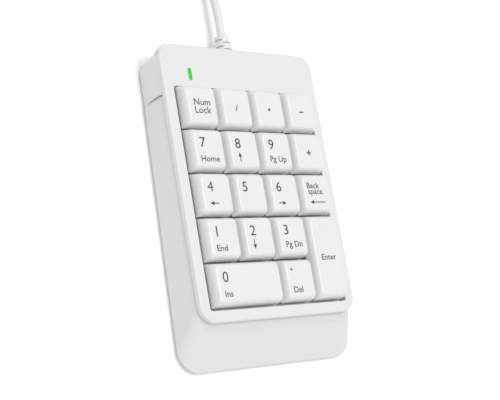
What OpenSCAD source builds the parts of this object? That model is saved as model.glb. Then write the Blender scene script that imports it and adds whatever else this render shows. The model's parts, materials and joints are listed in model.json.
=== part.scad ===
// Wired numeric keypad: 18 sprung keys on rubber domes over a membrane, in a two-piece case
// with a sloped front, and a thin cable wound up behind it for storage.
// +X is to the right, +Y to the rear and +Z up; the origin is on the table under the middle
// of the case.

/* [Case] */
// Length of the case from the nose to the rear edge
case_len = 138; // [134:1:146]
// Width of the top cover's deck
deck_w = 87.5; // [87:0.5:90]
// Height of the deck above the table
deck_z = 15.6; // [15.6:0.2:17]
// Width of the lower shell across the nose
nose_w = 96.8; // [93:0.2:99]
// Plan radius of the nose's corners
nose_r = 10; // [6:1:14]
// Length of the sloped front below the parting line
slope_len = 18.3; // [14:0.1:20]
// How far the rear wall leans in towards its foot
rear_lean = 5.4; // [3:0.1:7]
// Wall thickness of both shells
wall = 2; // [1.6:0.1:2.2]

/* [Keys] */
// Distance from key to key
pitch = 19.05; // [18.8:0.05:19.05]
// Gap between neighbouring keycaps at their feet
key_gap = 0.55; // [0.5:0.05:1]
// Height of a keycap
key_h = 5.3; // [5:0.1:6]
// How far a key goes down
travel = 3; // [2.4:0.1:3]

/* [Cable] */
// Diameter of the cable
cable_d = 4; // [4:0.1:4.1]
// Height of the cable's exit above the table
exit_z = 7.1; // [7.1:0.1:7.4]
// Mean radius of the stored coil
coil_r = 20; // [19:0.5:20]

/* [Hidden] */
$fn = 48;

// Key name, column, row, columns wide, rows deep; row 0 is the rear row
KEYS = [
    ["num_lock", 0, 0, 1, 1], ["divide", 1, 0, 1, 1], ["multiply", 2, 0, 1, 1], ["minus", 3, 0, 1, 1],
    ["7", 0, 1, 1, 1], ["8", 1, 1, 1, 1], ["9", 2, 1, 1, 1], ["plus", 3, 1, 1, 1],
    ["4", 0, 2, 1, 1], ["5", 1, 2, 1, 1], ["6", 2, 2, 1, 1], ["backspace", 3, 2, 1, 1],
    ["1", 0, 3, 1, 1], ["2", 1, 3, 1, 1], ["3", 2, 3, 1, 1], ["enter", 3, 3, 1, 2],
    ["0", 0, 4, 2, 1], ["decimal", 2, 4, 1, 1]
];
cols = 4;
rows = 5;
zero_key = KEYS[16];
enter_key = KEYS[15];

// Plan of the case
y_nose = -case_len / 2;
y_rear = case_len / 2;
y_parting = y_nose + slope_len;
deck_r_front = 7.5;
deck_r_rear = 6.5;
edge_r = 0.8;
edge_steps = [0, 20, 40, 60, 75, 90];
foot_edge_r = 1.5;
wing_in = 0.5;
wing_rear_half = 45;
wing_rear_r = 2;
hollow_foot = 0.5;
block_lift = 0.2;
block_floor_lift = 0.4;
block_floor_gap = 0.3;
rear_foot_half = 44.4;
rear_foot_r = 5;
slope_in = 2.8;
flush_z = 13.9;
flush_in = 0.015;
// Heights, from the table up
foot_h = 1;
floor_z = foot_h + wall;
bed_z = floor_z + 1.4;
sheet_t = 0.15;
dome_z = bed_z + 3 * sheet_t;
tray_z = 11.2;
tray_t = 1.3;
parting_z = 13.2;
seam = 0.2;
deck_under_z = parting_z + seam;
// Side seam between the lower shell's wings and the rear block: an arc seen from the side
arc_r = 25;
arc_y = 21.5;
arc_z = 11.8;
// Key block
grid_y = 2.55;
well_gap = 0.8;
well_gap_rear = 0.15;
well_gap_front = 0.95;
well_half_x = (cols * pitch - key_gap) / 2 + well_gap;
well_half_y = (rows * pitch - key_gap + well_gap_front + well_gap_rear) / 2;
well_y = grid_y + (well_gap_rear - well_gap_front) / 2;
well_r = 1.3;
tray_wall = 1.5;
tray_cover = 1.2;
// Keycaps
key_z = 14.6;
side_in = 1.25;
front_in = 0.9;
rear_in = 1;
cap_wall = 1.2;
stem_w = 6.6;
stem_d = 5;
stem_bore = 2.6;
slide_gap = 0.1;
chimney_wall = 1.2;
chimney_top = 14.9;
stem_foot = 9.05;
hook = 0.5;
hook_lift = 0.4;
hook_h = 0.7;
dome_h = 4.15;
dome_r = 4.2;
dome_neck = 2.3;
dome_shoulder = 3;
plunger_r = 1.7;
plunger_z = 2.9;
// Stabiliser wires of the two double keys
wire_r = 0.6;
wire_fit = 0.05;
elbow_r = 0.66;
wire_z = 12.9;
wire_back = 5.6;
wire_arm = 9;
arm_x = 12.2;
leg_x = 9.6;
clip_x = 8;
clip_w = 2;
clip_d = 3;
clip_rise = 1.3;
arm_rise = asin(travel / wire_arm);
ear_x = 10.4;
ear_t = 1.1;
ear_foot = 14.5;
slot_half = 0.72;
slot_long = 1.15;
ear_half = 2.1;
// Membrane, its tail to the board and its bed
sheet_w = 77;
sheet_l = 96;
sheet_r = 2;
tail_w = 23;
tail_end = 56.9;
bed_half = 39;
bed_y = [-46, 51];
contact_r = 2.5;
// Electronics behind the keys
board_x = [-33.5, -6];
board_y = [52.2, 62];
board_t = 1.2;
board_z = dome_z;
board_top = board_z + board_t;
led_at = [-28.7, 55.8];
led_r = 1.3;
led_h = 1.4;
window_l = 5.4;
window_w = 1.8;
window_foot = 9;
window_proud = 0.08;
flange_z = 11.6;
flange_t = 1.5;
flange = [3.6, 6, 0.6];
chip_x = [-20.5, -14.3];
chip_y = [58.2, 61.4];
chip_h = 1.5;
clamp_x = [-25, -12];
clamp_y = [53.8, 57.2];
clamp_h = 1.6;
board_screw_x = [-23.4, -13.6];
board_screw_y = 55.5;
board_screw_r = 0.8;
board_screw_deep = 0.5;
board_head_r = 1.5;
board_head_h = 0.8;
lead_r = 0.45;
leads = 4;
lead_turn_x = -8;
lead_turn_y = 57.6;
lead_step = 1.2;
// Screws and feet
front_boss = [30, -48.6];
rear_boss = [37.5, 57];
boss_r = 2.3;
boss_extra = 0.7;
boss_lift = 0.5;
socket_wall = 1.2;
boss_z = floor_z + 1.3;
screw_r = 1.2;
screw_head_r = 2.3;
screw_top = 9.6;
screw_room = 0.4;
screw_gap = 0.2;
head_h = 1.2;
recess = [2.4, 0.6, 1.4];
foot_r = 4.5;
foot_at = [[36, -57], [33, 50]];
foot_pocket = 0.5;
// Cable, plug and coil
relief_tip = 78;
relief_r = [3.9, 3.4];
relief_root = 69;
collar_y = [59.5, 62.4];
collar_half = 5.2;
slot_first = 71.1;
slot_step = 1.6;
slots = 4;
slot_w = 0.7;
slot_floor = 2.15;
turn_gap = 4.1;
coil_wide = 3;
coil_high = 4;
coil_z = 2.5;
coil_at = [-(coil_r + turn_gap), 136];
coil_top = coil_z + (coil_high - 1) * turn_gap;
coil_half = (coil_wide - 1) * turn_gap / 2 + cable_d / 2 + 0.1;
tie_t = 0.5;
tie_w = 6;
tie_angle = 225;
coil_corner = 1.9;
cable_sides = 10;
plug_x = -63;
plug_w = 16;
plug_h = 8.4;
plug_z = plug_h / 2;
plug_y = [109, 129, 135];
plug_r = 2.6;
neck_r = [3.8, 2.7];
shell_w = 12;
shell_h = 4.5;
shell_l = 12;
shell_t = 0.3;
shell_r = 0.6;
latch_x = 2.9;
latch_y = 6.5;
latch_w = 2.2;
tongue_in = 0.45;
tongue_back = 0.8;
tongue_low = 0.4;
tongue_top = -0.1;
// The cable's route where it isn't coiled
lead_route = [
    [0, 78, 7.1], [0, 85, 7.1], [0, 91, 6.9], [0, 97, 6.1], [0, 104, 4.7], [0, 111, 3.4],
    [0, 118, 2.7], [0, 124, 2.5], [0, 130, 2.5], [0, 136, 2.5]
];
tail_route = [
    [-24, 160, 14.8], [-34, 160, 14.3], [-44, 159, 11.6], [-53, 155.5, 8.2], [-59.5, 149.5, 5.6],
    [-62.5, 142, 4.4], [-63, 135, 4.2]
];

// A small overlap that joins solids or clears a cut, and the gap between fitted parts
bit = 0.01;
over = 1;
fit_gap = 0.1;

function key_x(k) = (k[1] + k[3] / 2 - cols / 2) * pitch;
function key_y(k) = grid_y + (rows / 2 - k[2] - k[4] / 2) * pitch;
function key_w(k) = k[3] * pitch - key_gap;
function key_d(k) = k[4] * pitch - key_gap;

// Plan outline with its own radius at the front and the rear corners
module outline(half_w, y0, y1, r0, r1) {
    translate([-half_w, y0 + r0]) square([2 * half_w, y1 - y0 - r0 - r1]);
    translate([-half_w + r0, y0]) square([2 * (half_w - r0), r0 + over]);
    translate([-half_w + r1, y1 - r1 - over]) square([2 * (half_w - r1), r1 + over]);
    for (side = [-1, 1]) {
        translate([side * (half_w - r0), y0 + r0]) circle(r0);
        translate([side * (half_w - r1), y1 - r1]) circle(r1);
    }
}

module round_rect(w, d, r) {
    outline(w / 2, -d / 2, d / 2, r, r);
}

module box(x, y, z) {
    translate([x[0], y[0], z[0]]) cube([x[1] - x[0], y[1] - y[0], z[1] - z[0]]);
}

module both_sides(at) {
    for (side = [-1, 1]) translate([side * at[0], at[1], 0]) children();
}

// A cylinder along X or along Y
module rod_x(r, x0, x1) {
    translate([x0, 0, 0]) rotate([0, 90, 0]) cylinder(r = r, h = x1 - x0);
}

module rod_y(r0, r1, y0, y1) {
    translate([0, y0, 0]) rotate([-90, 0, 0]) cylinder(r1 = r0, r2 = r1, h = y1 - y0);
}

// ---- Case ----

// Outer form of the lower shell: it flares towards the nose and slopes down in front
module lower_form() {
    hull() {
        translate([0, 0, parting_z - bit])
            linear_extrude(bit)
                outline(deck_w / 2 - wing_in, y_parting + wing_in / 2, arc_y + arc_r, deck_r_front, 1);
        for (a = edge_steps) {
            inset = foot_edge_r * (1 - cos(a));
            z = foot_h + foot_edge_r * (1 - sin(a));
            for (side = [-1, 1]) {
                translate([side * (nose_w / 2 - nose_r), y_nose + nose_r, z])
                    cylinder(r = nose_r - inset, h = bit);
                translate([side * (wing_rear_half - wing_rear_r), arc_y + arc_r - wing_rear_r, z])
                    cylinder(r = wing_rear_r - inset, h = bit);
            }
        }
    }
}

// Hollow of the lower shell, drawn in further under the slope
module lower_hollow() {
    hull() {
        translate([0, 0, parting_z - bit])
            linear_extrude(over)
                outline(deck_w / 2 - wall, y_parting + wall, arc_y + arc_r + over, deck_r_front - wall, 1);
        for (side = [-1, 1]) {
            translate([side * (nose_w / 2 - nose_r - 1), y_nose + nose_r + slope_in, floor_z])
                cylinder(r = nose_r - wall, h = hollow_foot);
            translate([side * (wing_rear_half - 1 - wall), arc_y + arc_r, floor_z])
                cylinder(r = 1, h = hollow_foot);
        }
    }
}

// Everything in front of the side seam
module before_seam(grow) {
    box([-nose_w, nose_w], [y_nose - over, arc_y], [-over, deck_z + over]);
    translate([0, arc_y, arc_z]) rod_x(arc_r + grow, -nose_w, nose_w);
}

// Rear block that hangs from the deck: outer form or its hollow
module rear_block(inset, foot) {
    hull() {
        translate([0, 0, flush_z])
            linear_extrude(bit)
                outline(deck_w / 2 - inset - flush_in, 0, y_rear - inset - flush_in, 1, deck_r_rear - inset);
        translate([0, 0, foot])
            linear_extrude(bit)
                outline(rear_foot_half - inset, 0, y_rear - rear_lean - inset, 1, rear_foot_r - inset / 2);
    }
}

module deck_plate() {
    hull() {
        translate([0, 0, deck_under_z])
            linear_extrude(bit)
                outline(deck_w / 2, y_parting, y_rear, deck_r_front, deck_r_rear);
        for (a = edge_steps) {
            inset = edge_r * (1 - cos(a));
            translate([0, 0, deck_z - edge_r * (1 - sin(a)) - bit])
                linear_extrude(bit)
                    outline(deck_w / 2 - inset, y_parting + inset, y_rear - inset,
                            deck_r_front - inset, deck_r_rear - inset);
        }
    }
}

// Opening for one key's stem, with its raised guide
module chimney(k) {
    translate([key_x(k), key_y(k), tray_z - tray_t])
        linear_extrude(chimney_top - tray_z + tray_t)
            square([stem_w + 2 * (slide_gap + chimney_wall), stem_d + 2 * (slide_gap + chimney_wall)],
                   center = true);
}

module stem_hole(k) {
    translate([key_x(k), key_y(k), 0])
        linear_extrude(deck_z)
            square([stem_w + 2 * slide_gap, stem_d + 2 * slide_gap], center = true);
}

// Places a stabiliser's parts: its wire runs along X, so the deep key's is turned
module at_stabiliser(k) {
    translate([key_x(k), key_y(k), 0]) rotate([0, 0, k[4] > 1 ? 90 : 0]) children();
}

module wire_clips() {
    for (side = [-1, 1])
        translate([side * clip_x, -wire_back, (tray_z + wire_z + clip_rise) / 2])
            cube([clip_w, clip_d, wire_z + clip_rise - tray_z + 2 * bit], center = true);
}

module wire_bores() {
    translate([0, -wire_back, wire_z])
        rod_x(wire_r + wire_fit, -clip_x - clip_w, clip_x + clip_w);
}

module top_cover() {
    color([0.94, 0.94, 0.945])
    difference() {
        union() {
            difference() {
                union() {
                    deck_plate();
                    difference() {
                        rear_block(0, foot_h + block_lift);
                        before_seam(seam);
                    }
                }
                difference() {
                    rear_block(wall, foot_h);
                    box([-nose_w, nose_w], [-over, y_rear + over], [deck_under_z, deck_z]);
                }
                translate([0, well_y, 0])
                    linear_extrude(deck_z + over) round_rect(2 * well_half_x, 2 * well_half_y, well_r);
            }
            // Tray that guides the keys
            translate([0, well_y, tray_z - tray_t])
                linear_extrude(deck_z - tray_cover - tray_z + tray_t)
                    difference() {
                        round_rect(2 * (well_half_x + tray_wall), 2 * (well_half_y + tray_wall),
                                   well_r + tray_wall);
                        round_rect(2 * well_half_x, 2 * well_half_y, well_r);
                    }
            translate([0, well_y, tray_z - tray_t])
                linear_extrude(tray_t)
                    round_rect(2 * well_half_x + tray_wall, 2 * well_half_y + tray_wall, well_r);
            for (k = KEYS) chimney(k);
            for (k = [zero_key, enter_key]) at_stabiliser(k) wire_clips();
            both_sides(front_boss)
                translate([0, 0, boss_z]) cylinder(r = boss_r, h = tray_z - boss_z);
            both_sides(rear_boss)
                translate([0, 0, boss_z]) cylinder(r = boss_r + boss_extra, h = parting_z + over - boss_z);
        }
        for (k = KEYS) stem_hole(k);
        for (k = [zero_key, enter_key]) at_stabiliser(k) wire_bores();
        for (at = [front_boss, rear_boss])
            both_sides(at) cylinder(r = screw_r + wire_fit, h = screw_top + screw_room);
        // Light window and cable exit
        translate([led_at[0], led_at[1], tray_z])
            linear_extrude(deck_z) round_rect(window_w + fit_gap, window_l + fit_gap, window_w / 2);
        translate([0, 0, exit_z])
            rod_y(relief_r[0] + fit_gap, relief_r[0] + fit_gap, collar_y[1] - over, y_rear + over);
    }
}

module lower_shell() {
    color([0.89, 0.89, 0.895])
    difference() {
        union() {
            difference() {
                intersection() {
                    lower_form();
                    before_seam(0);
                }
                lower_hollow();
            }
            // Floor of the rear block, inside its walls
            translate([0, 0, foot_h + block_floor_lift])
                linear_extrude(floor_z - foot_h - block_floor_lift)
                    outline(rear_foot_half - wall - block_floor_gap, 0,
                            y_rear - rear_lean - wall - block_floor_gap, 1, rear_foot_r - wall);
            // Bed for the membrane and the board
            box([-bed_half, bed_half], bed_y, [floor_z - bit, bed_z]);
            box(board_x, [bed_y[1] - over, board_y[1]], [floor_z - bit, bed_z]);
            for (at = [front_boss, rear_boss])
                both_sides(at) translate([0, 0, foot_h + boss_lift])
                    cylinder(r = boss_r + socket_wall, h = boss_z - foot_h - boss_lift - fit_gap);
        }
        for (at = [front_boss, rear_boss])
            both_sides(at) {
                cylinder(r = screw_r + screw_gap, h = deck_z);
                cylinder(r = screw_head_r + screw_gap, h = foot_h + head_h + fit_gap);
            }
        for (at = foot_at)
            both_sides(at) cylinder(r = foot_r + fit_gap, h = foot_h + foot_pocket);
        for (x = board_screw_x)
            translate([x, board_screw_y, floor_z - board_screw_deep - fit_gap])
                cylinder(r = board_screw_r, h = deck_z);
    }
}

// Round pads under the case
module rubber_feet() {
    color([0.25, 0.25, 0.26])
    for (at = foot_at)
        both_sides(at) cylinder(r = foot_r, h = foot_h + foot_pocket);
}

module case_screws() {
    color([0.72, 0.72, 0.74])
    for (at = [front_boss, rear_boss])
        both_sides(at) difference() {
            union() {
                translate([0, 0, foot_h + fit_gap]) cylinder(r = screw_head_r, h = head_h);
                translate([0, 0, foot_h + over]) cylinder(r = screw_r, h = screw_top - foot_h - over);
            }
            // Cross recess
            for (turn = [0, 90])
                translate([0, 0, foot_h]) rotate([0, 0, turn]) cube(recess, center = true);
        }
}

// ---- Light ----

module status_window() {
    color([0.25, 0.82, 0.2])
    translate([led_at[0], led_at[1], 0]) {
        translate([0, 0, window_foot])
            linear_extrude(deck_z + window_proud - window_foot)
                round_rect(window_w, window_l, window_w / 2 - bit);
        translate([0, 0, flange_z]) linear_extrude(flange_t) round_rect(flange[0], flange[1], flange[2]);
    }
}

module status_led() {
    color([0.75, 0.95, 0.7])
    translate([led_at[0], led_at[1], board_top]) {
        cylinder(r = led_r, h = led_h);
        translate([0, 0, led_h]) sphere(led_r);
    }
}

// ---- Membrane and board ----

module sheet_outline() {
    translate([0, grid_y]) round_rect(sheet_w, sheet_l, sheet_r);
    translate([board_x[0], grid_y]) square([tail_w, tail_end - grid_y]);
}

// One layer of the membrane, with holes where the board's screws pass
module sheet(layer) {
    translate([0, 0, bed_z + layer * sheet_t])
        linear_extrude(sheet_t)
            difference() {
                sheet_outline();
                for (x = board_screw_x) translate([x, board_screw_y]) circle(board_screw_r + 3 * fit_gap);
            }
}

module membrane_bottom() {
    color([0.75, 0.82, 0.85]) sheet(0);
}

module membrane_spacer() {
    color([0.85, 0.88, 0.9])
    difference() {
        sheet(1);
        for (k = KEYS) translate([key_x(k), key_y(k), 0]) cylinder(r = contact_r, h = deck_z);
    }
}

module membrane_top() {
    color([0.8, 0.86, 0.88]) sheet(2);
}

module circuit_board() {
    color([0.1, 0.4, 0.2])
    difference() {
        box(board_x, board_y, [board_z, board_top]);
        for (x = board_screw_x)
            translate([x, board_screw_y, 0]) cylinder(r = board_screw_r + fit_gap, h = deck_z);
    }
}

module controller_chip() {
    color([0.12, 0.12, 0.13]) box(chip_x, chip_y, [board_top, board_top + chip_h]);
}

// Bar that presses the board onto the membrane's tail
module membrane_clamp() {
    color([0.3, 0.3, 0.32])
    difference() {
        box(clamp_x, clamp_y, [board_top, board_top + clamp_h]);
        for (x = board_screw_x)
            translate([x, board_screw_y, 0]) cylinder(r = board_screw_r + fit_gap, h = deck_z);
    }
}

module board_screws() {
    color([0.75, 0.75, 0.77])
    for (x = board_screw_x)
        translate([x, board_screw_y, 0]) {
            translate([0, 0, floor_z - board_screw_deep])
                cylinder(r = board_screw_r, h = board_top + clamp_h - floor_z + board_screw_deep + fit_gap);
            translate([0, 0, board_top + clamp_h]) cylinder(r = board_head_r, h = board_head_h);
        }
}

// Four wires from the cable to the board, side by side and never crossing
module inner_leads() {
    color([0.8, 0.2, 0.2])
    for (i = [0 : leads - 1]) {
        x = i - (leads - 1) / 2;
        y = lead_turn_y - lead_step * i;
        translate([x, 0, exit_z]) rod_y(lead_r, lead_r, y, collar_y[0]);
        translate([x, y, exit_z]) sphere(lead_r);
        translate([0, y, exit_z]) rod_x(lead_r, lead_turn_x, x);
        translate([lead_turn_x, y, exit_z]) sphere(lead_r);
        translate([lead_turn_x, y, board_top]) cylinder(r = lead_r, h = exit_z - board_top);
    }
}

// ---- Keys ----

// Block whose four sides lean in towards the top
module frustum(w, d, h, side, front, rear) {
    intersection() {
        translate([0, d / 2, 0])
            rotate([90, 0, 0])
                linear_extrude(d)
                    polygon([[-w / 2, 0], [w / 2, 0], [w / 2 - side, h], [-w / 2 + side, h]]);
        translate([-w / 2, 0, 0])
            rotate([90, 0, 90])
                linear_extrude(w)
                    polygon([[-d / 2, 0], [d / 2, 0], [d / 2 - rear, h], [-d / 2 + front, h]]);
    }
}

// Slotted lug under a double key that carries the end of its stabiliser wire
module wire_ear() {
    top = key_z + key_h - cap_wall;
    y = -wire_back + wire_arm * (1 + cos(arm_rise)) / 2;
    difference() {
        box([ear_x, ear_x + ear_t], [y - ear_half, y + ear_half], [ear_foot, top + bit]);
        box([ear_x - over, ear_x + ear_t + over], [y - slot_long, y + slot_long],
            [wire_z + travel - slot_half, wire_z + travel + slot_half]);
    }
}

module keycap(k) {
    w = key_w(k);
    d = key_d(k);
    ceiling = key_h - cap_wall;
    slope = ceiling / key_h;
    color([0.93, 0.93, 0.94]) {
        translate([key_x(k), key_y(k), key_z]) {
            difference() {
                frustum(w, d, key_h, side_in, front_in, rear_in);
                translate([0, 0, -bit])
                    frustum(w - 2 * cap_wall, d - 2 * cap_wall, ceiling + bit,
                            side_in * slope, front_in * slope, rear_in * slope);
            }
            translate([0, 0, stem_foot - key_z])
                linear_extrude(key_z + ceiling - stem_foot + bit)
                    difference() {
                        square([stem_w, stem_d], center = true);
                        circle(r = stem_bore / 2);
                    }
            // Hooks that keep the key in its guide
            for (side = [-1, 1])
                translate([side * stem_w / 2, 0, stem_foot - key_z + hook_lift])
                    cube([2 * hook, stem_d / 2, hook_h], center = true);
        }
        if (k[3] > 1 || k[4] > 1)
            at_stabiliser(k) for (side = [0, 1]) mirror([side, 0, 0]) wire_ear();
    }
}

// Silicone dome under a key
module dome(k) {
    color([0.88, 0.9, 0.92])
    translate([key_x(k), key_y(k), dome_z])
        rotate_extrude()
            polygon([[dome_r - 1, 0], [dome_r, 0], [dome_r, 0.5], [dome_r - 0.6, 0.8],
                     [dome_neck, dome_shoulder], [dome_neck, dome_h], [0, dome_h],
                     [0, plunger_z], [plunger_r, plunger_z]]);
}

// Steel wire that keeps a double key level
module stabiliser(k) {
    color([0.78, 0.78, 0.8])
    at_stabiliser(k)
        translate([0, -wire_back, wire_z]) {
            rod_x(wire_r, -arm_x, arm_x);
            for (side = [0, 1]) mirror([side, 0, 0]) {
                translate([arm_x, 0, 0]) sphere(elbow_r);
                translate([arm_x, 0, 0]) rotate([arm_rise, 0, 0]) rod_y(wire_r, wire_r, 0, wire_arm);
                translate([0, wire_arm * cos(arm_rise), travel]) {
                    translate([arm_x, 0, 0]) sphere(elbow_r);
                    rod_x(wire_r, leg_x, arm_x);
                }
            }
        }
}

// ---- Cable ----

// Ribbed sleeve that holds the cable where it leaves the case
module strain_relief() {
    color([0.92, 0.92, 0.925])
    difference() {
        translate([0, 0, exit_z]) union() {
            rod_y(relief_r[0], relief_r[0], collar_y[1] - bit, relief_root);
            rod_y(relief_r[0], relief_r[1], relief_root, relief_tip);
            box([-collar_half, collar_half], collar_y, [-relief_r[0], relief_r[0]]);
        }
        for (i = [0 : slots - 1], turn = [0, 180])
            translate([0, slot_first + slot_step * i, exit_z])
                rotate([0, i % 2 * 90 + turn, 0])
                    box([-relief_r[0], relief_r[0]] * 2, [-slot_w / 2, slot_w / 2],
                        [slot_floor, 2 * relief_r[0]]);
    }
}

function unit(v) = v / norm(v);
function heading(route, i) =
    unit(route[min(i + 1, len(route) - 1)] - route[max(i - 1, 0)]);
function ring(route, i, r, sides) =
    let (along = heading(route, i))
    let (across = unit(cross(along, [0, 0, 1])))
    let (up = cross(across, along))
    [for (j = [0 : sides - 1]) route[i] + r * (cos(360 * j / sides) * across + sin(360 * j / sides) * up)];

// Tube swept along a route, ring by ring
module swept(route, r, sides) {
    n = len(route);
    points = [for (i = [0 : n - 1]) each ring(route, i, r, sides)];
    walls = [
        for (i = [0 : n - 2], j = [0 : sides - 1])
            [i * sides + j, i * sides + (j + 1) % sides, (i + 1) * sides + (j + 1) % sides, (i + 1) * sides + j]
    ];
    start = [for (j = [sides - 1 : -1 : 0]) j];
    end = [for (j = [0 : sides - 1]) (n - 1) * sides + j];
    polyhedron(points, concat([start], walls, [end]));
}

module cable_lead() {
    color([0.95, 0.95, 0.955]) swept(lead_route, cable_d / 2, cable_sides);
}

module cable_tail() {
    color([0.95, 0.95, 0.955]) swept(tail_route, cable_d / 2, cable_sides);
}

module cable_coil() {
    color([0.95, 0.95, 0.955])
    translate([coil_at[0], coil_at[1], 0])
        rotate_extrude()
            translate([coil_r, (coil_z + coil_top) / 2])
                round_rect(2 * coil_half, coil_top - coil_z + cable_d, coil_corner);
}

// Band round the coil
module cable_tie() {
    low = coil_z - cable_d / 2;
    high = coil_top + cable_d / 2;
    color([0.3, 0.3, 0.32])
    translate([coil_at[0], coil_at[1], 0])
        rotate([0, 0, tie_angle])
            difference() {
                box([coil_r - coil_half - tie_t, coil_r + coil_half + tie_t], [-tie_w / 2, tie_w / 2],
                    [low - tie_t, high + tie_t]);
                box([coil_r - coil_half, coil_r + coil_half], [-tie_w, tie_w], [low, high]);
            }
}

module plug_grip() {
    color([0.93, 0.93, 0.935])
    translate([plug_x, 0, plug_z]) {
        translate([0, plug_y[1], 0])
            rotate([90, 0, 0]) linear_extrude(plug_y[1] - plug_y[0]) round_rect(plug_w, plug_h, plug_r);
        rod_y(neck_r[0], neck_r[1], plug_y[1], plug_y[2]);
    }
}

module plug_shell() {
    color([0.78, 0.79, 0.8])
    translate([plug_x, plug_y[0], plug_z])
        difference() {
            rotate([90, 0, 0])
                linear_extrude(shell_l)
                    difference() {
                        round_rect(shell_w, shell_h, shell_r);
                        round_rect(shell_w - 2 * shell_t, shell_h - 2 * shell_t, shell_r - shell_t);
                    }
            for (side = [-1, 1])
                translate([side * latch_x, -latch_y, 0])
                    cube([latch_w, latch_w, shell_h + over], center = true);
        }
}

module plug_tongue() {
    color([0.96, 0.96, 0.96])
    translate([plug_x, plug_y[0], plug_z])
        box([-shell_w / 2 + tongue_in, shell_w / 2 - tongue_in], [-shell_l + tongue_back, 0],
            [-shell_h / 2 + tongue_low, tongue_top]);
}

top_cover();
lower_shell();
status_window();
status_led();
membrane_top();
membrane_spacer();
membrane_bottom();
circuit_board();
controller_chip();
membrane_clamp();
inner_leads();
case_screws();
board_screws();
rubber_feet();
stabiliser(zero_key);  // zero_stabiliser
stabiliser(enter_key);  // enter_stabiliser
strain_relief();
cable_lead();
cable_coil();
cable_tail();
cable_tie();
plug_grip();
plug_shell();
plug_tongue();
for (k = KEYS) keycap(k);
for (k = KEYS) dome(k);
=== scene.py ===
# Wired numeric keypad: the finished look of each piece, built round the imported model, in metres.
import json
import math

import bmesh
import bpy
from mathutils import Matrix, Vector


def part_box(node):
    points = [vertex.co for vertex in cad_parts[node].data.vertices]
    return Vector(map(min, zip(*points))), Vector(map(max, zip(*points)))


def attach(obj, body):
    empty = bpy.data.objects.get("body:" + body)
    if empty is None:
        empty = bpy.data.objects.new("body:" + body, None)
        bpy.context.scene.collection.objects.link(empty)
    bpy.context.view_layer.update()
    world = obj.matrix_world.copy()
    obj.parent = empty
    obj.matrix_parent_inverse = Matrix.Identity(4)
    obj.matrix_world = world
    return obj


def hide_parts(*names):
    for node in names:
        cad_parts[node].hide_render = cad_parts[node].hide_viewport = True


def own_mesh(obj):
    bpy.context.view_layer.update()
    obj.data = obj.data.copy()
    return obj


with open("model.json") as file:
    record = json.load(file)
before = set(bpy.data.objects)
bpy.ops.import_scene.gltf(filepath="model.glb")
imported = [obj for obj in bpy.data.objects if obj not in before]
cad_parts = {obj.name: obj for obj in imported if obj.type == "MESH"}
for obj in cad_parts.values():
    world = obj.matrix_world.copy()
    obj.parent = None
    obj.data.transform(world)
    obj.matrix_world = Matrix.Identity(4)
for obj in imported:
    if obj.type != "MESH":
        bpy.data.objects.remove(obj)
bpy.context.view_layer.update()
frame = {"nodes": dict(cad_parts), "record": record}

mm = 0.001
scene = bpy.context.scene
print("keypad: model loaded,", len(frame["nodes"]), "nodes")

cameraSetup = {
    "at": (-0.34794, -0.09858, 0.39632),
    "aim": (-0.00701, 0.00065, 0.015),
    "up": (0.0033, 0.9671, 0.2546),
    "lens": 87.84,
    "sensor": 36,
    "near": 0.01,
}


def turnedTo(direction, upHint):
    # Rotation of a camera or lamp that looks along direction
    back = -Vector(direction).normalized()
    right = Vector(upHint).cross(back).normalized()
    return Matrix((right, back.cross(right), back)).transposed().to_4x4()


def placeCamera():
    data = bpy.data.cameras.new("camera")
    data.lens = cameraSetup["lens"]
    data.sensor_width = cameraSetup["sensor"]
    data.clip_start = cameraSetup["near"]
    camera = bpy.data.objects.new("camera", data)
    scene.collection.objects.link(camera)
    at = Vector(cameraSetup["at"])
    camera.matrix_world = Matrix.Translation(at) @ turnedTo(Vector(cameraSetup["aim"]) - at, cameraSetup["up"])
    scene.camera = camera


studio = {
    "skyColour": (1.0, 1.0, 1.0),
    "skyStrength": 0.5,
    "floorColour": (0.97, 0.97, 0.97),
    "floorGlow": 0.1,
    "floorRough": 0.9,
    "floorSize": 6.0,
    "floorCloud": 0.2,
    "lampUp": (0, 1, 0.1),
    # name, place, aimed at, size, watts
    "lamps": [
        ("lampAbove", (0.1, 0.3, 2.4), (0, 0, 0), 1.6, 34.5),
        ("lampFront", (-0.3, -2.0, 1.6), (0, 0, 0), 1.2, 3.2),
    ],
}


def buildStudio():
    world = bpy.data.worlds.new("studioSky")
    scene.world = world
    world.use_nodes = True
    sky = world.node_tree.nodes["Background"]
    sky.inputs["Color"].default_value = (*studio["skyColour"], 1)
    sky.inputs["Strength"].default_value = studio["skyStrength"]
    for name, at, aim, size, watts in studio["lamps"]:
        data = bpy.data.lights.new(name, "AREA")
        data.shape = "DISK"
        data.size = size
        data.energy = watts
        lamp = bpy.data.objects.new(name, data)
        scene.collection.objects.link(lamp)
        lamp.matrix_world = Matrix.Translation(at) @ turnedTo(Vector(aim) - Vector(at), studio["lampUp"])
    half = studio["floorSize"] / 2
    mesh = bpy.data.meshes.new("floor")
    mesh.from_pydata([(-half, -half, 0), (half, -half, 0), (half, half, 0), (-half, half, 0)], [], [(0, 1, 2, 3)])
    floor = bpy.data.objects.new("floor", mesh)
    scene.collection.objects.link(floor)
    floor.data.materials.append(paleFloor())
    scene.view_settings.view_transform = "Standard"


def addNode(tree, kind, **settings):
    # A setting is one of the node's own or, with _ for each space, one of its sockets
    made = tree.nodes.new(kind)
    for key, value in settings.items():
        if hasattr(made, key):
            setattr(made, key, value)
        else:
            made.inputs[key.replace("_", " ")].default_value = value
    return made


def noiseAt(tree, size, detail=3.0, rough=0.55):
    # Noise whose features measure about size, in metres, fixed to the piece
    coords = addNode(tree, "ShaderNodeTexCoord")
    noise = addNode(tree, "ShaderNodeTexNoise", Scale=1 / size, Detail=detail, Roughness=rough)
    tree.links.new(coords.outputs["Object"], noise.inputs["Vector"])
    return noise.outputs["Fac"]


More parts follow.
